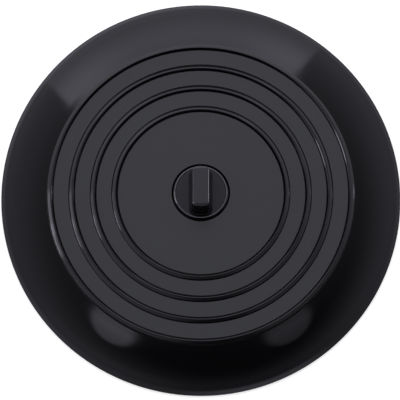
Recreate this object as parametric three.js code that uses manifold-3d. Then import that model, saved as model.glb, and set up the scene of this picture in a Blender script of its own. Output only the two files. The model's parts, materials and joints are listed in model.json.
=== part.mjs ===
// A silicone drain cover: a domed round moulding that lies over a drain and seals by its brim, with a
// separate pull grip pressed through a hole in its middle. Millimetres, +Z up. The origin is the centre
// of the sealing face, on the surface that the cover lies on.
import * as THREE from 'three';
import { mergeVertices } from 'three/addons/utils/BufferGeometryUtils.js';
import Module from 'manifold-3d';

const wasm = await Module();
wasm.setup();

// Cover: raised panel
const coverDiameter = 150;
const panelHeight = 9; // flat top of the panel above the sealing face
const panelThickness = 3;
const panelStep = 1.9; // from the root of the brim up to the panel
const panelWall = 3.2; // from the panel's edge in to the flat roof of the hollow

// Cover: brim and the rim that seals
const brimWidth = 17.8; // from the panel's edge out to the lip
const brimRootThickness = 2.4;
const brimRootFillet = 0.8;
const brimCrown = 1.05; // how far the brim bulges above a straight slope
const lipThickness = 1.4;
const lipRounding = 0.4;
const sealingFaceWidth = 2.5;
const sealingRimHeight = 1;
const sealingRimTaper = 0.6; // how far the rim's inner side leans inwards over its height

// Cover: raised ring beads, laid inwards from the panel's edge as far as the plain centre
const beadWidth = 2;
const beadHeight = 0.9;
const beadPitch = 8;
const plainCentreDiameter = 60;

// Grip: disc, stem and the foot that holds it in the cover
const gripDiameter = 20.1;
const gripRimWidth = 0.9;
const gripRimHeight = 1; // top of the rim above the panel
const gripDishDepth = 0.5; // floor of the disc below its rim
const stemDiameter = 8;
const footDiameter = 13.6;
const footThickness = 1.4;
const footRounding = 1.1;

// Grip: upright fin that the fingers pinch
const finTopWidth = 6;
const finTopLength = 15.1;
const finHeight = 12.2; // top of the fin above the panel
const finSideDraft = THREE.MathUtils.degToRad(7.5);
const finEndDraft = THREE.MathUtils.degToRad(5);
const finEndRadius = 10; // the ends are slightly curved, seen from above
const finCornerRadius = 1.35;
const finTopRounding = 0.7;
const finFootFillet = 0.4;
const finRootDepth = 0.3; // how far the fin runs down into its disc

// Fits between the grip and the cover
const seatDepth = 1.2;
const seatEdgeRounding = 0.3;
const discSideGap = 0.85; // open ring round the disc
const discRestGap = 0.3; // under the disc
const stemGap = 0.3; // round the stem
const footGap = 0.3; // over the foot

// Fineness of the facets
const coverFacets = 72;
const gripFacets = 48;
const curveSteps = 6;
const cornerSteps = 4;

// Places worked out from the sizes
const coverRadius = coverDiameter / 2;
const panelRadius = coverRadius - brimWidth;
const roofHeight = panelHeight - panelThickness;
const gripRadius = gripDiameter / 2;
const stemRadius = stemDiameter / 2;
const seatFloor = panelHeight - seatDepth;
const gripRimTop = panelHeight + gripRimHeight;
const gripFloor = gripRimTop - gripDishDepth;
const finTop = panelHeight + finHeight;

const at = (radius, height) => new THREE.Vector2(radius, height);
const facing = (angle) => at(Math.cos(angle), Math.sin(angle));

// Points of an elliptic arc in a turned outline, angles in radians from the outward direction.
function arc(centre, halfWidth, halfHeight, start, end, steps = curveSteps) {
  return new THREE.EllipseCurve(centre.x, centre.y, halfWidth, halfHeight, start, end).getPoints(steps);
}

// Solid of revolution about Z from an outline of radius and height.
function revolve(outline, facets) {
  return new THREE.LatheGeometry(outline, facets).rotateX(Math.PI / 2);
}

// Closed mesh as a solid that can be joined.
function toSolid(geometry) {
  const bare = geometry.clone();
  bare.deleteAttribute('normal');
  bare.deleteAttribute('uv');
  const merged = mergeVertices(bare);
  const vertProperties = new Float32Array(merged.attributes.position.array);
  const triVerts = new Uint32Array(merged.index.array);
  return new wasm.Manifold(new wasm.Mesh({ numProp: 3, vertProperties, triVerts }));
}

// Solid back to a mesh.
function toGeometry(solid) {
  const { vertProperties, triVerts } = solid.getMesh();
  const geometry = new THREE.BufferGeometry();
  geometry.setAttribute('position', new THREE.BufferAttribute(vertProperties, 3));
  geometry.setIndex(new THREE.BufferAttribute(triVerts, 1));
  geometry.computeVertexNormals();
  return geometry;
}

// Rounded corner of the lip.
function lipCorner(centre, start, end) {
  return arc(centre, lipRounding, lipRounding, start, end, cornerSteps);
}

// Cover, turned as one outline: sealing face, lip, brim, panel with its beads, seat, hole and hollow.
function coverGeometry() {
  const lipEdge = coverRadius - lipRounding;
  const lipTop = at(lipEdge, lipThickness);
  const brimRoot = at(panelRadius + brimRootFillet, panelHeight - panelStep);
  const brimPull = lipTop.clone().lerp(brimRoot, 0.5).add(at(0, 2 * brimCrown));
  const edgeSlope = Math.atan2(brimPull.y - lipTop.y, lipTop.x - brimPull.x);
  const lip = [
    ...lipCorner(at(lipEdge, lipRounding), -Math.PI / 2, 0),
    ...lipCorner(at(lipEdge, lipThickness - lipRounding), 0, Math.PI / 2 - edgeSlope),
  ];
  const brim = new THREE.QuadraticBezierCurve(lip.at(-1), brimPull, brimRoot);

  // The brim runs up into the outer side of the bead on the panel's edge.
  const rootSlope = (brimRoot.y - brimPull.y) / (brimPull.x - brimRoot.x);
  const fillet = new THREE.QuadraticBezierCurve(
    brimRoot,
    at(panelRadius, brimRoot.y + brimRootFillet * rootSlope),
    at(panelRadius, panelHeight),
  );

  const panel = [];
  const lastBead = plainCentreDiameter / 2 + beadWidth / 2;
  for (let radius = panelRadius - beadWidth / 2; radius >= lastBead; radius -= beadPitch) {
    panel.push(...arc(at(radius, panelHeight), beadWidth / 2, beadHeight, 0, Math.PI));
  }

  const seatRadius = gripRadius + discSideGap;
  const holeRadius = stemRadius + stemGap;
  const seatEdge = at(seatRadius + seatEdgeRounding, panelHeight - seatEdgeRounding);
  const seat = [
    ...arc(seatEdge, seatEdgeRounding, seatEdgeRounding, Math.PI / 2, Math.PI),
    at(seatRadius, seatFloor),
    at(holeRadius, seatFloor),
    at(holeRadius, roofHeight),
  ];

  // The hollow follows the brim at its thickness and ends on the inner side of the sealing rim.
  const sealingFaceStart = lipEdge - sealingFaceWidth;
  const middleThickness = (brimRootThickness + lipThickness) / 2;
  const underBrim = new THREE.QuadraticBezierCurve(
    below(brimRoot, rootSlope, brimRootThickness),
    below(brimPull, (rootSlope + Math.tan(edgeSlope)) / 2, middleThickness),
    at(sealingFaceStart - sealingRimTaper, sealingRimHeight),
  );
  const hollow = [
    at(panelRadius - panelWall, roofHeight),
    ...underBrim.getPoints(curveSteps),
    at(sealingFaceStart, 0),
  ];

  const outline = [
    ...lip,
    ...brim.getPoints(curveSteps).slice(1),
    ...fillet.getPoints(curveSteps).slice(1, -1),
    ...panel,
    ...seat,
    ...hollow,
    lip[0],
  ];
  return revolve(outline, coverFacets);
}

// Point of a sloping wall's inner side, one thickness square below a point of its outer side.
function below(point, slope, thickness) {
  const angle = Math.atan(slope);
  return at(point.x - thickness * Math.sin(angle), point.y - thickness * Math.cos(angle));
}

// Grip below its fin: foot, stem and dished disc with a rounded rim, turned as one outline.
function gripDiscGeometry() {
  const footRadius = footDiameter / 2;
  const footTop = roofHeight - footGap;
  const footBottom = footTop - footThickness;
  const footEdge = at(footRadius - footRounding, footBottom + footRounding);
  const rimCentre = at(gripRadius - gripRimWidth / 2, gripFloor);
  const discUnderside = seatFloor + discRestGap;
  const outline = [
    at(0, footBottom),
    ...arc(footEdge, footRounding, footRounding, -Math.PI / 2, 0),
    at(footRadius, footTop),
    at(stemRadius, footTop),
    at(stemRadius, discUnderside),
    at(gripRadius, discUnderside),
    ...arc(rimCentre, gripRimWidth / 2, gripDishDepth, 0, Math.PI),
    at(0, gripFloor),
  ];
  return revolve(outline, gripFacets);
}

// Places round the fin's inner outline, each with the direction that it faces: corners and curved ends.
function finSpine() {
  const endRadius = finEndRadius - finCornerRadius;
  const endCentre = at(0, finTopLength / 2 - finEndRadius);
  const slant = Math.acos((finTopWidth / 2 - finCornerRadius) / endRadius);
  const farSlant = Math.PI - slant;
  const onEnd = (angle) => facing(angle).multiplyScalar(endRadius).add(endCentre);
  const half = [];
  for (let step = 0; step <= cornerSteps; step += 1) {
    half.push({ place: onEnd(slant), out: facing((slant * step) / cornerSteps) });
  }
  for (let step = 1; step < curveSteps; step += 1) {
    const angle = slant + ((farSlant - slant) * step) / curveSteps;
    half.push({ place: onEnd(angle), out: facing(angle) });
  }
  for (let step = 0; step <= cornerSteps; step += 1) {
    half.push({ place: onEnd(farSlant), out: facing(farSlant + (slant * step) / cornerSteps) });
  }
  const turned = half.map(({ place, out }) => ({ place: at(-place.x, -place.y), out: at(-out.x, -out.y) }));
  return [...half, ...turned];
}

// One level of the fin, spread out from the outline of its top, so far at the sides and so far at the ends.
function finOutline(sideSpread, endSpread, height) {
  return finSpine().map(({ place, out }) => {
    const spread = THREE.MathUtils.lerp(sideSpread, endSpread, out.y ** 2);
    const point = out.clone().multiplyScalar(finCornerRadius + spread).add(place);
    return new THREE.Vector3(point.x, point.y, height);
  });
}

// Fin as a loft: a filleted foot, drafted sides and ends and a rounded top edge.
function finGeometry() {
  const level = (height, outset, sunk = 0) => {
    const fall = finTop - height;
    const sideSpread = fall * Math.tan(finSideDraft) + outset;
    const endSpread = fall * Math.tan(finEndDraft) + outset;
    return finOutline(sideSpread, endSpread, height - sunk);
  };
  const levels = [level(gripFloor, finFootFillet, finRootDepth)];
  for (let step = 0; step <= cornerSteps; step += 1) {
    const turn = ((step / cornerSteps) * Math.PI) / 2;
    const height = gripFloor + finFootFillet * (1 - Math.cos(turn));
    levels.push(level(height, finFootFillet * (1 - Math.sin(turn))));
  }
  for (let step = 0; step <= cornerSteps; step += 1) {
    const turn = ((step / cornerSteps) * Math.PI) / 2;
    const height = finTop - finTopRounding * (1 - Math.sin(turn));
    levels.push(level(height, -finTopRounding * (1 - Math.cos(turn))));
  }
  return loft(levels);
}

// Closed skin over a stack of outlines that have the same number of points.
function loft(levels) {
  const count = levels[0].length;
  const points = levels.flat();
  const index = [];
  for (let level = 0; level + 1 < levels.length; level += 1) {
    for (let i = 0; i < count; i += 1) {
      const here = level * count + i;
      const next = level * count + ((i + 1) % count);
      index.push(here, next, next + count, here, next + count, here + count);
    }
  }
  const top = (levels.length - 1) * count;
  for (let i = 1; i + 1 < count; i += 1) {
    index.push(0, i + 1, i, top, top + i, top + i + 1);
  }
  return new THREE.BufferGeometry().setFromPoints(points).setIndex(index);
}

function gripGeometry() {
  return toGeometry(toSolid(gripDiscGeometry()).add(toSolid(finGeometry())));
}

// The two mouldings in black silicone rubber, the grip a little glossier than the matt panel.
const coverRubber = new THREE.MeshStandardMaterial({ color: 0x1c1c1f, roughness: 0.4, metalness: 0 });
const gripRubber = new THREE.MeshStandardMaterial({ color: 0x18181b, roughness: 0.3, metalness: 0 });

const cover = new THREE.Mesh(coverGeometry(), coverRubber);
cover.name = 'cover';

const pullGrip = new THREE.Mesh(gripGeometry(), gripRubber);
pullGrip.name = 'pull_grip';

const drainCover = new THREE.Group();
drainCover.add(cover, pullGrip);

export default drainCover;
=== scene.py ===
import json
import math

import bpy
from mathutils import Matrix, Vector


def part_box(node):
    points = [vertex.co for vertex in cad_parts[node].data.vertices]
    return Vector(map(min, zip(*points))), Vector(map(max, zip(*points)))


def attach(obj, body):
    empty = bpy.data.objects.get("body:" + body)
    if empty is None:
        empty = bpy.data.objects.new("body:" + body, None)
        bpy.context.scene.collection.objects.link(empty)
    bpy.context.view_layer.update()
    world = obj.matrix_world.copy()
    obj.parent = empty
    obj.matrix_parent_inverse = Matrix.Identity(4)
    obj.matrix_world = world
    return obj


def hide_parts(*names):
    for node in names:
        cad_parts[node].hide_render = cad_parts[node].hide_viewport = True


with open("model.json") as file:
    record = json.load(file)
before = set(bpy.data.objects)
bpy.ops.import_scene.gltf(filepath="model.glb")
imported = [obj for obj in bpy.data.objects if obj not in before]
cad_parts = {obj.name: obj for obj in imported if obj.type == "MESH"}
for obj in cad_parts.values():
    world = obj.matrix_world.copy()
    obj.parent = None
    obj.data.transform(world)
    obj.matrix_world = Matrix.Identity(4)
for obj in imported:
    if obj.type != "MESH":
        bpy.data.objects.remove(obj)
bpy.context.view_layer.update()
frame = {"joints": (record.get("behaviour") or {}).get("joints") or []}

MM = 0.001
UP = Vector((0, 0, 1))

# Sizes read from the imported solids
cover_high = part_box("cover")[1]
grip_low, grip_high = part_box("pull_grip")
COVER_RADIUS = cover_high.x
BEAD_TOP = cover_high.z
FIN_TOP = grip_high.z
FOOT_BOTTOM = grip_low.z
GRIP_RADIUS = grip_high.x
PANEL_HEIGHT = frame["joints"][0]["pos_m"][2]  # where the grip turns

# Cover: raised panel and its ring beads
EDGE_BEAD_RADIUS = 56.2 * MM
BEAD_PITCH = 8 * MM
BEAD_COUNT = 4
BEAD_OUTER_SHOULDER = 0.74 * MM  # from its middle to where its side gets steeper
BEAD_INNER_SHOULDER = 1.05 * MM
BEAD_INNER_FOOT = 1.2 * MM  # from its middle to the bottom of the narrow groove beside it
EDGE_BEAD_FOOT = 0.95 * MM  # from its middle to the top of the wall round the panel
BEAD_CREST = -0.42 * MM  # from its middle out to its crest, which lies inside it
BEAD_OUTER_SLOPE = math.radians(36.5)
BEAD_FOOT_SLOPE = math.radians(43)
BEAD_INNER_SLOPE = math.radians(46.3)
BEAD_CROWN_ROUNDING = 0.42 * MM
BEAD_OUTER_ROUNDING = 1.8 * MM
BEAD_INNER_ROUNDING = 0.3 * MM
EDGE_BEAD_ROUNDING = 0.25 * MM
OUTER_GROOVE_WIDTH = 0.21 * MM
OUTER_GROOVE_DEPTH = 0.45 * MM
OUTER_GROOVE_BOTTOM = OUTER_GROOVE_WIDTH / 3  # from the bead's foot
INNER_GROOVE_WIDTH = 0.14 * MM  # from its bottom to the panel
INNER_GROOVE_DEPTH = 0.42 * MM
GROOVE_ROUNDING = 0.04 * MM
PANEL_THICKNESS = 3 * MM
PANEL_WALL_SLOPE = math.radians(82)

# Cover: brim, lip and sealing rim
BRIM_ROOT_SLOPE = math.radians(7)
BRIM_EDGE_SLOPE = math.radians(28.5)
BRIM_PULL_RADIUS = 65.6 * MM  # where both slopes would meet
BRIM_ROUNDING = 34 * MM
BRIM_ROOT_ROUNDING = 0.15 * MM
LIP_BEND_RADIUS = 73.4 * MM  # where the brim bends down to its lip
LIP_BEND_ROUNDING = 12 * MM
LIP_SLOPE = math.radians(33)
LIP_HEIGHT = 1.14 * MM
LIP_TOP_ROUNDING = 0.32 * MM
LIP_BOTTOM_ROUNDING = 0.25 * MM
SEALING_FACE_INNER = 72.1 * MM
SEALING_RIM_HEIGHT = 1 * MM
SEALING_RIM_TAPER = 0.6 * MM
SMALL_ROUNDING = 0.15 * MM

# Cover: hollow underside, seat and hole
ROOF_RADIUS = 54 * MM
ROOF_ROUNDING = 8 * MM
UNDER_BRIM_RADIUS = 66.1 * MM
UNDER_BRIM_HEIGHT = 3.55 * MM
UNDER_BRIM_ROUNDING = 24 * MM
SEAT_RADIUS = GRIP_RADIUS + 0.76 * MM
SEAT_DEPTH = 1.2 * MM
SEAT_EDGE_ROUNDING = 0.12 * MM
SEAT_FLOOR_ROUNDING = 0.66 * MM
HOLE_RADIUS = 4.3 * MM

# Grip: disc, stem and foot
GRIP_RIM_TOP = PANEL_HEIGHT + 0.98 * MM
GRIP_RIM_WIDTH = 0.56 * MM
GRIP_RIM_BEVEL = 0.24 * MM  # of the rim's outer edge, across
GRIP_RIM_BEVEL_SLOPE = math.radians(40)
GRIP_RIM_ROUNDING = 0.14 * MM
GRIP_DISH_DEPTH = 0.16 * MM  # floor of the disc below its rim
GRIP_DISH_ROUNDING = 0.1 * MM
DISC_UNDERSIDE = PANEL_HEIGHT - 0.9 * MM
STEM_RADIUS = 4 * MM
FOOT_RADIUS = 6.8 * MM
FOOT_TOP = PANEL_HEIGHT - PANEL_THICKNESS - 0.3 * MM
FOOT_ROUNDING = 1.1 * MM
FOOT_INSET = 0.2  # of the foot's radius, to the innermost loop below it

# Grip: fin
FIN_TOP_WIDTH = 6 * MM
FIN_TOP_LENGTH = 15.1 * MM
FIN_END_RADIUS = 10 * MM
FIN_CORNER_RADIUS = 1.35 * MM
FIN_SIDE_DRAFT = math.radians(7.5)
FIN_END_DRAFT = math.radians(8)
FIN_SIDE_BEVEL = 0.3 * MM  # of the top's edge, across
FIN_SIDE_BEVEL_SLOPE = math.radians(41.5)
FIN_END_BEVEL = 0.85 * MM
FIN_END_BEVEL_SLOPE = math.radians(37)
FIN_BEVEL_ROUNDING = 0.25 * MM
FIN_FOOT_ROUNDING = 0.12 * MM
FIN_FOOT_REACH = 1.2  # of the foot's rounding, to where the fin's skin starts on the disc
FIN_TOP_INSET = 0.1  # of the corner's radius, to the innermost loop on the fin's top

# Fineness of the meshes
COVER_SIDES = 208
ARC_TURN = math.radians(7.5)
ARC_LENGTH = 1 * MM
FIN_ARC_STEPS = 12
FIN_CORNER_STEPS = 8
FIN_SIDE_STEPS = 24
FIN_END_STEPS = 8

# Camera: the photograph looks down from a little in front of the cover
CAMERA_TILT = math.radians(11.9)
CAMERA_DISTANCE = 0.85
CAMERA_AIM = Vector((-0.3, -1.09, 0.75)) * MM
SENSOR_WIDTH = 36
PIXELS_PER_METRE = 2661  # at the place that the camera aims at
IMAGE_PIXELS = 400
CLIP_START = 0.01
CLIP_END = 20

# Finishes
RUBBER_IOR = 1.41
CLOUD_SCALE = 90  # soft patches about a centimetre across
CLOUD_DETAIL = 3
GRAIN_DETAIL = 2
CLOUD_SHARE = 0.6  # of the change in colour; the fine grain makes the rest
NOISE_MIDDLE = 0.5
LIGHT_PATCH = 1.25  # times the colour
DARK_PATCH = 0.8
ROUGHNESS_CHANGE = 0.06  # times the roughness
LEVEL_COSINE = 0.999  # a face counts as level above this
PAINTED_RIM_COSINE = 0.93  # the rim's land is painted lighter, as a highlight ring, where it is no steeper than this

# Studio: what the rubber reflects. Levels are radiances and angles are in degrees
STUDIO_TINT = (0.98, 0.945, 1.11, 1)
WHITE = (1, 1, 1, 1)
OVERHEAD_LEVEL = 1.32
OVERHEAD_EDGE = (11, 15)
OPENING_AZIMUTH = 289
OPENING_POLAR = 21
OPENING_LEVEL = 0.032
WALL_LEVEL = 0.49
WALL_EDGE = (11, 58.5)  # from the opening's middle
LOW_WALL_LEVEL = 0.38
LOW_WALL_EDGE = (43.5, 110)
BOX_LEVEL = 1.29
BOX_RIGHT_LEVEL = 0.62
BOX_RIGHT_PART = (56, 84)  # round about
BOX_LEFT_LEVEL = 0.68
BOX_LEFT_PART = (110, 138)
BOX_RIGHT_EDGE = 52.2
BOX_RIGHT_LEAN = 0.073  # degrees round about for each degree out
BOX_LEFT_EDGE = 146.2
BOX_LEFT_LEAN = 0.15
BOX_SOFTNESS = 0.5
BOX_TOP = (10, 15)  # degrees out
BOX_TOP_DROP = 6
BOX_DROPPED_PART = (126, 146)
BOX_FADE = 0.93
BOX_FADE_REACH = (22, 74)
WINDOW_MIDDLE = 20  # degrees out
WINDOW_TOP = (13, 19)
WINDOW_EDGE = (0.75, 1.2)  # squares of the share of its size
WINDOW_FADE = 0.4
WINDOW_FADE_REACH = (16, 40)
LAMP_SOFTNESS = 3
LAMP_SIDE = (0.1, 0.2)  # cosines that keep a lamp to one side of the room

# Floor
FLOOR_SIZE = 6
FLOOR_PAINT = (0.8, 0.81, 0.72, 1)
FLOOR_LIFT = 0.62


class Wire:
    """An output of a node tree. Operators on wires and numbers add the Math nodes for them."""

    def __init__(self, tree, socket=None):
        self.tree = tree
        self.socket = socket

    def node(self, kind, settings=None, sockets=None, output=0):
        """Adds a node of a kind, makes its settings and fills its sockets with values or links."""
        node = self.tree.nodes.new("ShaderNode" + kind)
        for name, value in (settings or {}).items():
            setattr(node, name, value)
        for name, value in (sockets or {}).items():
            if isinstance(value, Wire):
                self.tree.links.new(value.socket, node.inputs[name])
            else:
                node.inputs[name].default_value = value
        return Wire(self.tree, node.outputs[output] if node.outputs else None)

    def maths(self, operation, *values):
        return self.node("Math", {"operation": operation}, dict(enumerate(values)))

    def __add__(self, other):
        return self.maths("ADD", self, other)

    def __radd__(self, other):
        return self.maths("ADD", other, self)

    def __sub__(self, other):
        return self.maths("SUBTRACT", self, other)

    def __rsub__(self, other):
        return self.maths("SUBTRACT", other, self)

    def __mul__(self, other):
        return self.maths("MULTIPLY", self, other)

    def __rmul__(self, other):
        return self.maths("MULTIPLY", other, self)

    def rise(self, start, end):
        """0 up to start and 1 from end, with a smooth slope between."""
        settings = {"interpolation_type": "SMOOTHSTEP"}
        return self.node("MapRange", settings, {"Value": self, "From Min": start, "From Max": end})


def facing(angle):
    """Level unit vector at an angle from +X."""
    return Vector((math.cos(angle), math.sin(angle), 0))


def towards(azimuth, polar):
    """Unit vector of a direction, in degrees from +X and from straight up."""
    azimuth = math.radians(azimuth)
    polar = math.radians(polar)
    return facing(azimuth) * math.sin(polar) + UP * math.cos(polar)


def rounded(corners, closed, arc_steps=None):
    """Points and normals along an outline whose corners (radius, height, rounding) become arcs.

    The outline runs with the material on its left, so the normals point out on its right.
    An arc has as many steps as its turn needs, or as many as given."""
    outline = []
    count = len(corners)
    for i, (radius, height, rounding) in enumerate(corners):
        here = Vector((radius, height))
        before = (here - Vector(corners[i - 1][:2])).normalized()
        after = (Vector(corners[(i + 1) % count][:2]) - here).normalized()
        if not closed and i == 0:
            before = after
        if not closed and i == count - 1:
            after = before
        turn = math.atan2(before.x * after.y - before.y * after.x, before.dot(after))
        side = math.copysign(1, turn)
        start = here - before * rounding * math.tan(abs(turn) / 2)
        normal = Vector((before.y, -before.x))
        centre = start - normal * rounding * side
        steps = max(abs(turn) / ARC_TURN, abs(turn) * rounding / ARC_LENGTH)
        steps = arc_steps or max(1, math.ceil(steps))
        steps = steps if rounding else 0
        for step in range(steps + 1):
            angle = turn * step / max(1, steps)
            turned = Vector((
                normal.x * math.cos(angle) - normal.y * math.sin(angle),
                normal.x * math.sin(angle) + normal.y * math.cos(angle),
            ))
            outline.append((centre + turned * rounding * side, turned))
    return outline


def cover_corners():
    """Corners of the cover's section, from the sealing face over the lip and the top and back below."""
    lip = [
        (COVER_RADIUS, 0, LIP_BOTTOM_ROUNDING),
        (COVER_RADIUS, LIP_HEIGHT, LIP_TOP_ROUNDING),
    ]

    # Heights that follow from the slopes, down to where the wall of the edge bead meets the brim
    lean = (BEAD_INNER_SLOPE - BEAD_OUTER_SLOPE) / 2
    bend = (BEAD_INNER_SLOPE + BEAD_OUTER_SLOPE) / 2
    crest = BEAD_TOP + BEAD_CROWN_ROUNDING * (math.cos(lean) / math.cos(bend) - 1)
    outer_shoulder = crest - (BEAD_OUTER_SHOULDER - BEAD_CREST) * math.tan(BEAD_OUTER_SLOPE)
    outer_foot = BEAD_OUTER_SHOULDER + (outer_shoulder - PANEL_HEIGHT) / math.tan(BEAD_FOOT_SLOPE)
    wall_top = outer_shoulder - (EDGE_BEAD_FOOT - BEAD_OUTER_SHOULDER) * math.tan(BEAD_FOOT_SLOPE)
    inner_shoulder = crest - (BEAD_INNER_SHOULDER + BEAD_CREST) * math.tan(BEAD_INNER_SLOPE)
    bend_height = LIP_HEIGHT + (COVER_RADIUS - LIP_BEND_RADIUS) * math.tan(LIP_SLOPE)
    pull_height = bend_height + (LIP_BEND_RADIUS - BRIM_PULL_RADIUS) * math.tan(BRIM_EDGE_SLOPE)
    wall_radius = EDGE_BEAD_RADIUS + EDGE_BEAD_FOOT
    drop = wall_top - pull_height - (BRIM_PULL_RADIUS - wall_radius) * math.tan(BRIM_ROOT_SLOPE)
    reach = drop / (math.tan(PANEL_WALL_SLOPE) - math.tan(BRIM_ROOT_SLOPE))
    brim = [
        (LIP_BEND_RADIUS, bend_height, LIP_BEND_ROUNDING),
        (BRIM_PULL_RADIUS, pull_height, BRIM_ROUNDING),
        (wall_radius + reach, wall_top - reach * math.tan(PANEL_WALL_SLOPE), BRIM_ROOT_ROUNDING),
        (wall_radius, wall_top, EDGE_BEAD_ROUNDING),
    ]

    beads = []
    groove_bottom = PANEL_HEIGHT - OUTER_GROOVE_DEPTH
    for i in range(BEAD_COUNT):
        middle = EDGE_BEAD_RADIUS - i * BEAD_PITCH
        if i:
            beads += [
                (middle + outer_foot + OUTER_GROOVE_WIDTH, PANEL_HEIGHT, GROOVE_ROUNDING),
                (middle + outer_foot + OUTER_GROOVE_BOTTOM, groove_bottom, GROOVE_ROUNDING),
                (middle + outer_foot, PANEL_HEIGHT, GROOVE_ROUNDING),
            ]
        beads += [
            (middle + BEAD_OUTER_SHOULDER, outer_shoulder, BEAD_OUTER_ROUNDING),
            (middle + BEAD_CREST, crest, BEAD_CROWN_ROUNDING),
            (middle - BEAD_INNER_SHOULDER, inner_shoulder, BEAD_INNER_ROUNDING),
            (middle - BEAD_INNER_FOOT, PANEL_HEIGHT - INNER_GROOVE_DEPTH, GROOVE_ROUNDING),
            (middle - BEAD_INNER_FOOT - INNER_GROOVE_WIDTH, PANEL_HEIGHT, GROOVE_ROUNDING),
        ]

    roof = PANEL_HEIGHT - PANEL_THICKNESS
    seat = [
        (SEAT_RADIUS, PANEL_HEIGHT, SEAT_EDGE_ROUNDING),
        (SEAT_RADIUS, PANEL_HEIGHT - SEAT_DEPTH, SEAT_FLOOR_ROUNDING),
        (HOLE_RADIUS, PANEL_HEIGHT - SEAT_DEPTH, SMALL_ROUNDING),
        (HOLE_RADIUS, roof, SMALL_ROUNDING),
    ]
    hollow = [
        (ROOF_RADIUS, roof, ROOF_ROUNDING),
        (UNDER_BRIM_RADIUS, UNDER_BRIM_HEIGHT, UNDER_BRIM_ROUNDING),
        (SEALING_FACE_INNER - SEALING_RIM_TAPER, SEALING_RIM_HEIGHT, SMALL_ROUNDING),
        (SEALING_FACE_INNER, 0, SMALL_ROUNDING),
    ]
    return lip + brim + beads + seat + hollow


def ring(radius, height, normal, angles):
    """One loop of points with their normals, round the axis."""
    loop = []
    for angle in angles:
        out = facing(angle)
        loop.append((out * radius + UP * height, out * normal.x + UP * normal.y))
    return loop


def skin(name, loops, finishes, closed):
    """Mesh over a stack of loops of equally many points, with the loops' own normals.

    Each finish covers the band from its loop to the next.
    An open stack is capped by a point at each end."""
    count = len(loops[0])
    points = [point for loop in loops for point, normal in loop]
    normals = [normal for loop in loops for point, normal in loop]
    materials = list(dict.fromkeys(finishes))
    faces = []
    slots = []
    for band in range(len(loops) if closed else len(loops) - 1):
        low = band * count
        high = (band + 1) % len(loops) * count
        for i in range(count):
            j = (i + 1) % count
            faces.append((low + i, low + j, high + j, high + i))
            slots.append(materials.index(finishes[band]))
    if not closed:
        ends = ((0, True, finishes[0]), (len(points) - count, False, finishes[-1]))
        for first, below, finish in ends:
            cap = range(first, first + count)
            middle = len(points)
            points.append(sum((points[i] for i in cap), Vector()) / count)
            normals.append(-UP if below else UP)
            for i in range(count):
                here = cap[i]
                there = cap[(i + 1) % count]
                faces.append((there, here, middle) if below else (here, there, middle))
                slots.append(materials.index(finish))
    mesh = bpy.data.meshes.new(name)
    mesh.from_pydata(points, [], faces)
    for material in materials:
        mesh.materials.append(material)
    mesh.polygons.foreach_set("material_index", slots)
    mesh.shade_smooth()
    mesh.normals_split_custom_set_from_vertices([normal.normalized() for normal in normals])
    mesh.update()
    piece = bpy.data.objects.new(name, mesh)
    bpy.context.scene.collection.objects.link(piece)
    return piece


def silicone(name, colour, roughness, grain, grain_size):
    """Black silicone rubber, as glossy and as finely grained as its half of the mould left it."""
    material = bpy.data.materials.new(name)
    material.use_nodes = True
    tree = material.node_tree
    tree.nodes.clear()
    start = Wire(tree)
    place = start.node("TexCoord", output="Object")
    soft = {"Vector": place, "Scale": CLOUD_SCALE, "Detail": CLOUD_DETAIL}
    cloud = start.node("TexNoise", None, soft)
    sharp = {"Vector": place, "Scale": 1 / grain_size, "Detail": GRAIN_DETAIL}
    fine = start.node("TexNoise", None, sharp)
    light = [channel * LIGHT_PATCH for channel in colour]
    dark = [channel * DARK_PATCH for channel in colour]
    patches = cloud * CLOUD_SHARE + fine * (1 - CLOUD_SHARE)
    # The Mix node has its colours on sockets 6 and 7 and mixes them on output 2
    shades = {0: patches, 6: (*dark, 1), 7: (*light, 1)}
    base = start.node("Mix", {"data_type": "RGBA"}, shades, output=2)
    bump = start.node("Bump", None, {"Strength": 1, "Distance": grain, "Height": fine})
    shader = start.node(
        "BsdfPrincipled",
        None,
        {
            "Base Color": base,
            "Roughness": (cloud - NOISE_MIDDLE) * (roughness * ROUGHNESS_CHANGE) + roughness,
            "IOR": RUBBER_IOR,
            "Normal": bump,
        },
    )
    start.node("OutputMaterial", None, {"Surface": shader})
    return material


# Finishes, from the panel outwards and down, then the grip's
matt_panel = silicone(
    "matt panel silicone", colour=(0.0122, 0.0152, 0.0135),
    roughness=0.28, grain=0.002 * MM, grain_size=0.22 * MM,
)
satin_bead = silicone(
    "satin bead silicone", colour=(0.0005, 0.0005, 0.0006),
    roughness=0.1, grain=0.001 * MM, grain_size=0.3 * MM,
)
glossy_brim = silicone(
    "glossy brim silicone", colour=(0.0015, 0.0015, 0.0017),
    roughness=0.07, grain=0.0002 * MM, grain_size=0.5 * MM,
)
plain_underside = silicone(
    "plain underside silicone", colour=(0.004, 0.004, 0.0044),
    roughness=0.3, grain=0.002 * MM, grain_size=0.3 * MM,
)
satin_grip = silicone(
    "satin grip silicone", colour=(0.003, 0.003, 0.0033),
    roughness=0.46, grain=0.002 * MM, grain_size=0.22 * MM,
)
matt_fin = silicone(
    "matt fin silicone", colour=(0.0105, 0.0103, 0.011),
    roughness=0.35, grain=0.002 * MM, grain_size=0.22 * MM,
)
# Painted highlight: the fin's bevelled top edges are lighter than the polished grip, so that they show
# as bright edge lines
painted_highlight_edge = silicone(
    "painted highlight edge silicone", colour=(0.018, 0.0178, 0.0191),
    roughness=0.15, grain=0.0005 * MM, grain_size=0.3 * MM,
)
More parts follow.
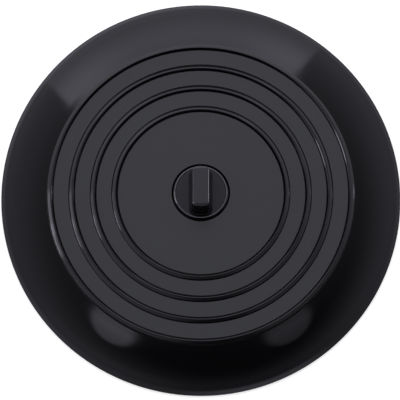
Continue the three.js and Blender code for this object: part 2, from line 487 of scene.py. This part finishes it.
# Painted highlight: the rim's land is far lighter than the rest of the black grip, so that it shows as a
# bright ring
painted_highlight_rim = silicone(
    "painted highlight rim silicone", colour=(0.1, 0.099, 0.105),
    roughness=0.25, grain=0.001 * MM, grain_size=0.3 * MM,
)
polished_grip = silicone(
    "polished grip silicone", colour=(0.0008, 0.0008, 0.0009),
    roughness=0.14, grain=0.0005 * MM, grain_size=0.4 * MM,
)


def is_level(normal):
    """Whether a face of a section is level, which the mould leaves matt."""
    return normal.normalized().y > LEVEL_COSINE


def cover_finish(point, normal):
    """The finish of the cover at a place of its section."""
    if normal.y < 0 and point.y < PANEL_HEIGHT - PANEL_THICKNESS + SMALL_ROUNDING:
        return plain_underside
    if point.x > EDGE_BEAD_RADIUS + EDGE_BEAD_FOOT:
        return glossy_brim
    on_top = point.y > PANEL_HEIGHT - GROOVE_ROUNDING
    return matt_panel if on_top and is_level(normal) else satin_bead


def make_cover():
    outline = rounded(cover_corners(), closed=True)
    angles = [2 * math.pi * i / COVER_SIDES for i in range(COVER_SIDES)]
    loops = [ring(point.x, point.y, normal, angles) for point, normal in outline]
    finishes = []
    for i, (point, normal) in enumerate(outline):
        next_point, next_normal = outline[(i + 1) % len(outline)]
        finishes.append(cover_finish((point + next_point) / 2, normal + next_normal))
    piece = skin("cover_moulding", loops, finishes, closed=True)
    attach(piece, "cover")
    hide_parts("cover")


def fin_spine():
    """Places round the fin's inner outline, each with the direction that it faces.

    They go along a side, round a corner, over a curved end and round the next corner, twice."""
    across = FIN_TOP_WIDTH / 2 - FIN_CORNER_RADIUS
    end_radius = FIN_END_RADIUS - FIN_CORNER_RADIUS
    end_middle = Vector((0, FIN_TOP_LENGTH / 2 - FIN_END_RADIUS, 0))
    slant = math.acos(across / end_radius)
    corner = end_middle + facing(slant) * end_radius
    half = []
    for step in range(FIN_SIDE_STEPS):
        half.append((Vector((across, corner.y * (2 * step / FIN_SIDE_STEPS - 1), 0)), facing(0)))
    for step in range(FIN_CORNER_STEPS):
        half.append((corner, facing(slant * step / FIN_CORNER_STEPS)))
    for step in range(FIN_END_STEPS):
        out = facing(slant + (math.pi - 2 * slant) * step / FIN_END_STEPS)
        half.append((end_middle + out * end_radius, out))
    for step in range(FIN_CORNER_STEPS):
        out = facing(math.pi - slant + slant * step / FIN_CORNER_STEPS)
        half.append((Vector((-corner.x, corner.y, 0)), out))
    return half + [(-place, -out) for place, out in half]


def fin_profile(floor, draft, bevel, bevel_slope):
    """Section of the fin's wall, out from its inner outline: foot, drafted wall, bevelled top edge."""
    edge = FIN_TOP - bevel * math.tan(bevel_slope)
    foot = FIN_CORNER_RADIUS + (edge - floor) * math.tan(draft)
    return rounded(
        [
            (foot + FIN_FOOT_REACH * FIN_FOOT_ROUNDING, floor, 0),
            (foot, floor, FIN_FOOT_ROUNDING),
            (FIN_CORNER_RADIUS, edge, FIN_BEVEL_ROUNDING),
            (FIN_CORNER_RADIUS - bevel, FIN_TOP, FIN_BEVEL_ROUNDING),
            (FIN_TOP_INSET * FIN_CORNER_RADIUS, FIN_TOP, 0),
        ],
        closed=False,
        arc_steps=FIN_ARC_STEPS,
    )


def grip_finish(point, normal):
    """The finish of the grip at a place of its section. The rim's land and the fin's top edge are
    painted lighter, as highlights.
    """
    if point.y > FIN_TOP - FIN_SIDE_BEVEL:
        # The fin's top edges take the lighter colour of a painted highlight
        return matt_fin if is_level(normal) else painted_highlight_edge
    on_rim = point.x > GRIP_RADIUS - GRIP_RIM_WIDTH and point.y > PANEL_HEIGHT
    # The rim's upper faces take the lighter colour of a painted highlight ring
    if on_rim and normal.normalized().y > PAINTED_RIM_COSINE:
        return painted_highlight_rim
    return satin_grip if is_level(normal) else polished_grip


def make_grip():
    rim_inside = GRIP_RADIUS - GRIP_RIM_WIDTH
    rim_edge = GRIP_RIM_TOP - GRIP_RIM_BEVEL * math.tan(GRIP_RIM_BEVEL_SLOPE)
    floor = GRIP_RIM_TOP - GRIP_DISH_DEPTH
    disc = rounded(
        [
            (FOOT_INSET * FOOT_RADIUS, FOOT_BOTTOM, 0),
            (FOOT_RADIUS, FOOT_BOTTOM, FOOT_ROUNDING),
            (FOOT_RADIUS, FOOT_TOP, SMALL_ROUNDING),
            (STEM_RADIUS, FOOT_TOP, SMALL_ROUNDING),
            (STEM_RADIUS, DISC_UNDERSIDE, SMALL_ROUNDING),
            (GRIP_RADIUS, DISC_UNDERSIDE, SMALL_ROUNDING),
            (GRIP_RADIUS, rim_edge, SMALL_ROUNDING),
            (GRIP_RADIUS - GRIP_RIM_BEVEL, GRIP_RIM_TOP, GRIP_RIM_ROUNDING),
            (rim_inside, GRIP_RIM_TOP, GRIP_DISH_ROUNDING),
            (rim_inside - GRIP_DISH_DEPTH, floor, GRIP_DISH_ROUNDING),
            (rim_inside - 2 * GRIP_DISH_DEPTH, floor, 0),
        ],
        closed=False,
    )
    fin_side = fin_profile(floor, FIN_SIDE_DRAFT, FIN_SIDE_BEVEL, FIN_SIDE_BEVEL_SLOPE)
    fin_end = fin_profile(floor, FIN_END_DRAFT, FIN_END_BEVEL, FIN_END_BEVEL_SLOPE)
    spine = fin_spine()
    fin = []
    for (side, side_normal), (end, end_normal) in zip(fin_side, fin_end):
        loop = []
        for place, out in spine:
            share = out.y * out.y
            point = side.lerp(end, share)
            normal = side_normal.lerp(end_normal, share)
            loop.append((place + out * point.x + UP * point.y, out * normal.x + UP * normal.y))
        fin.append(loop)
    angles = [math.atan2(point.y, point.x) for point, normal in fin[0]]
    loops = [ring(point.x, point.y, normal, angles) for point, normal in disc]
    profile = disc + fin_side
    finishes = []
    for (point, normal), (next_point, next_normal) in zip(profile, profile[1:]):
        finishes.append(grip_finish((point + next_point) / 2, normal + next_normal))
    piece = skin("grip_moulding", loops + fin, finishes, closed=False)
    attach(piece, "grip")
    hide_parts("pull_grip")


def make_studio():
    """Light from all round: pale walls with a dark opening, a light box behind, windows and lamps."""
    world = bpy.data.worlds.new("studio")
    world.use_nodes = True
    bpy.context.scene.world = world
    tree = world.node_tree
    tree.nodes.clear()
    start = Wire(tree)
    ray = start.node("TexCoord", output="Generated")

    def along(direction):
        sockets = {0: ray, 1: direction}
        return start.node("VectorMath", {"operation": "DOT_PRODUCT"}, sockets, output="Value")

    def away_from(direction):
        """Angle in degrees between the ray and a direction."""
        cosine = along(direction)
        return cosine.maths("ARCCOSINE", cosine) * (180 / math.pi)

    # Angles out from the direction that the level panel mirrors to the camera, and round about it
    mirror = Vector((0, math.sin(CAMERA_TILT), math.cos(CAMERA_TILT)))
    out = away_from(mirror)
    behind = along(Vector((0, mirror.z, -mirror.y)))
    round_about = behind.maths("ARCTAN2", behind, along(facing(0))) * (180 / math.pi)

    def band(top=None, foot=None, fade=1):
        """1 between a soft top and a soft foot, each two angles out. The foot dims by a share."""
        shown = out.rise(*top) if top else 1
        return shown * (1 - out.rise(*foot) * fade) if foot else shown

    def light(azimuth, begin, full, level, **edges):
        """Soft light on one side of the room, between two cosines of the angle to its middle."""
        return along(facing(math.radians(azimuth))).rise(begin, full) * band(**edges) * level

    # Walls: dark in the opening, paler further down, shaded low in front and on the right
    opening = away_from(towards(OPENING_AZIMUTH, OPENING_POLAR))
    walls = OPENING_LEVEL + opening.rise(*WALL_EDGE) * WALL_LEVEL
    walls += opening.rise(*LOW_WALL_EDGE) * LOW_WALL_LEVEL
    walls += light(azimuth=0, begin=0.35, full=0.8, level=0.08, foot=(62, 70))
    walls += light(azimuth=235, begin=0.62, full=0.85, level=0.14, top=(50, 60))
    walls *= 1 - light(azimuth=278, begin=0.8, full=0.92, level=0.92, top=(71, 76))
    walls *= 1 - light(azimuth=278, begin=0.35, full=0.65, level=0.94, top=(77, 83))
    walls *= 1 - light(azimuth=10, begin=0.6, full=0.85, level=0.8, top=(82, 86))

    # Light box behind, brighter at both ends, with straight sides that lean
    box_level = BOX_LEVEL + (1 - round_about.rise(*BOX_RIGHT_PART)) * BOX_RIGHT_LEVEL
    box_level += round_about.rise(*BOX_LEFT_PART) * BOX_LEFT_LEVEL
    box_right = round_about - out * BOX_RIGHT_LEAN
    box_right = box_right.rise(BOX_RIGHT_EDGE - BOX_SOFTNESS, BOX_RIGHT_EDGE + BOX_SOFTNESS)
    box_left = round_about + out * BOX_LEFT_LEAN
    box_left = 1 - box_left.rise(BOX_LEFT_EDGE - BOX_SOFTNESS, BOX_LEFT_EDGE + BOX_SOFTNESS)
    box_top = (out - round_about.rise(*BOX_DROPPED_PART) * BOX_TOP_DROP).rise(*BOX_TOP)
    box_shape = box_right * box_left * box_top
    back_box = box_level * band(foot=BOX_FADE_REACH, fade=BOX_FADE) * box_shape

    def window(azimuth, half_width, reach, level):
        """Soft light with a rounded end, at an angle round about and reaching so far out."""
        across = (round_about - azimuth) * (1 / half_width)
        outward = (out - WINDOW_MIDDLE) * (1 / (reach - WINDOW_MIDDLE))
        spread = across * across + outward * outward
        faded = band(foot=WINDOW_FADE_REACH, fade=WINDOW_FADE) * level
        return (1 - spread.rise(*WINDOW_EDGE)) * faded * band(top=WINDOW_TOP)

    windows = window(azimuth=-124, half_width=9.3, reach=39, level=1.55)
    windows += window(azimuth=-56, half_width=9.5, reach=38, level=0.6)

    def lamp(azimuth, half_width, level, **edges):
        """Upright lamp above the floor."""
        beside = away_from(facing(math.radians(azimuth + 90))) - 90
        beside = beside.maths("ABSOLUTE", beside).rise(half_width, half_width + LAMP_SOFTNESS)
        ahead = along(facing(math.radians(azimuth))).rise(*LAMP_SIDE)
        return (1 - beside) * ahead * level * band(**edges)

    # Low lights and lamps that only steep and rounded faces mirror to the camera
    low = light(azimuth=105, begin=-0.6, full=-0.1, level=0.35, top=(64, 72), foot=(73, 76), fade=0.5)
    low += light(
        azimuth=125, begin=0.65, full=0.92, level=0.5, top=(58, 70), foot=(72, 75.5), fade=0.95
    )
    low += light(azimuth=289, begin=0.74, full=0.88, level=0.75, top=(60, 72), foot=(72, 75))
    low += lamp(azimuth=187, half_width=5, level=9, top=(74.5, 78.5), foot=(83, 87), fade=0.65)
    low += lamp(azimuth=176, half_width=7, level=5, top=(74, 76.5), foot=(78.5, 81))
    low += lamp(azimuth=1, half_width=4, level=0.4, top=(76, 81), foot=(84, 86))
    low += lamp(azimuth=12.2, half_width=0.8, level=10.5, top=(79, 81), foot=(84, 86))

    # Overhead light that only level faces mirror
    overhead = band(foot=OVERHEAD_EDGE) * OVERHEAD_LEVEL
    strength = walls + back_box + windows + low + overhead
    studio = start.node("Background", None, {"Color": STUDIO_TINT, "Strength": strength})
    white = start.node("Background", None, {"Color": WHITE, "Strength": 1})
    seen = start.node("LightPath", output="Is Camera Ray")
    shown = start.node("MixShader", None, {0: seen, 1: studio, 2: white})
    start.node("OutputWorld", None, {"Surface": shown})


def make_floor():
    """Plain pale floor, lifted to white where it is seen. It keeps the cover's shadow."""
    half = FLOOR_SIZE / 2
    mesh = bpy.data.meshes.new("floor")
    corners = [(-half, -half, 0), (half, -half, 0), (half, half, 0), (-half, half, 0)]
    mesh.from_pydata(corners, [], [(0, 1, 2, 3)])
    floor = bpy.data.objects.new("floor", mesh)
    bpy.context.scene.collection.objects.link(floor)
    material = bpy.data.materials.new("white floor")
    material.use_nodes = True
    tree = material.node_tree
    tree.nodes.clear()
    start = Wire(tree)
    seen = start.node("LightPath", output="Is Camera Ray")
    mirrored = start.node("LightPath", output="Is Glossy Ray")
    through = start.node("LightPath", output="Is Transmission Ray")
    lift = seen.maths("MAXIMUM", seen, seen.maths("MAXIMUM", mirrored, through)) * FLOOR_LIFT
    paint = start.node("BsdfDiffuse", None, {"Color": FLOOR_PAINT})
    glow = start.node("Emission", None, {"Color": WHITE, "Strength": lift})
    shown = start.node("AddShader", None, {0: paint, 1: glow})
    start.node("OutputMaterial", None, {"Surface": shown})
    mesh.materials.append(material)


def make_camera():
    lens = PIXELS_PER_METRE * CAMERA_DISTANCE / IMAGE_PIXELS * SENSOR_WIDTH
    data = bpy.data.cameras.new("camera")
    data.sensor_width = SENSOR_WIDTH
    data.lens = lens
    data.clip_start = CLIP_START
    data.clip_end = CLIP_END
    camera = bpy.data.objects.new("camera", data)
    bpy.context.scene.collection.objects.link(camera)
    back = Vector((0, -math.sin(CAMERA_TILT), math.cos(CAMERA_TILT)))
    camera.location = CAMERA_AIM + back * CAMERA_DISTANCE
    camera.rotation_mode = "QUATERNION"
    camera.rotation_quaternion = (-back).to_track_quat("-Z", "Y")
    bpy.context.scene.camera = camera


make_camera()
make_floor()
make_studio()
make_cover()
make_grip()
bpy.context.scene.view_settings.view_transform = "Standard"
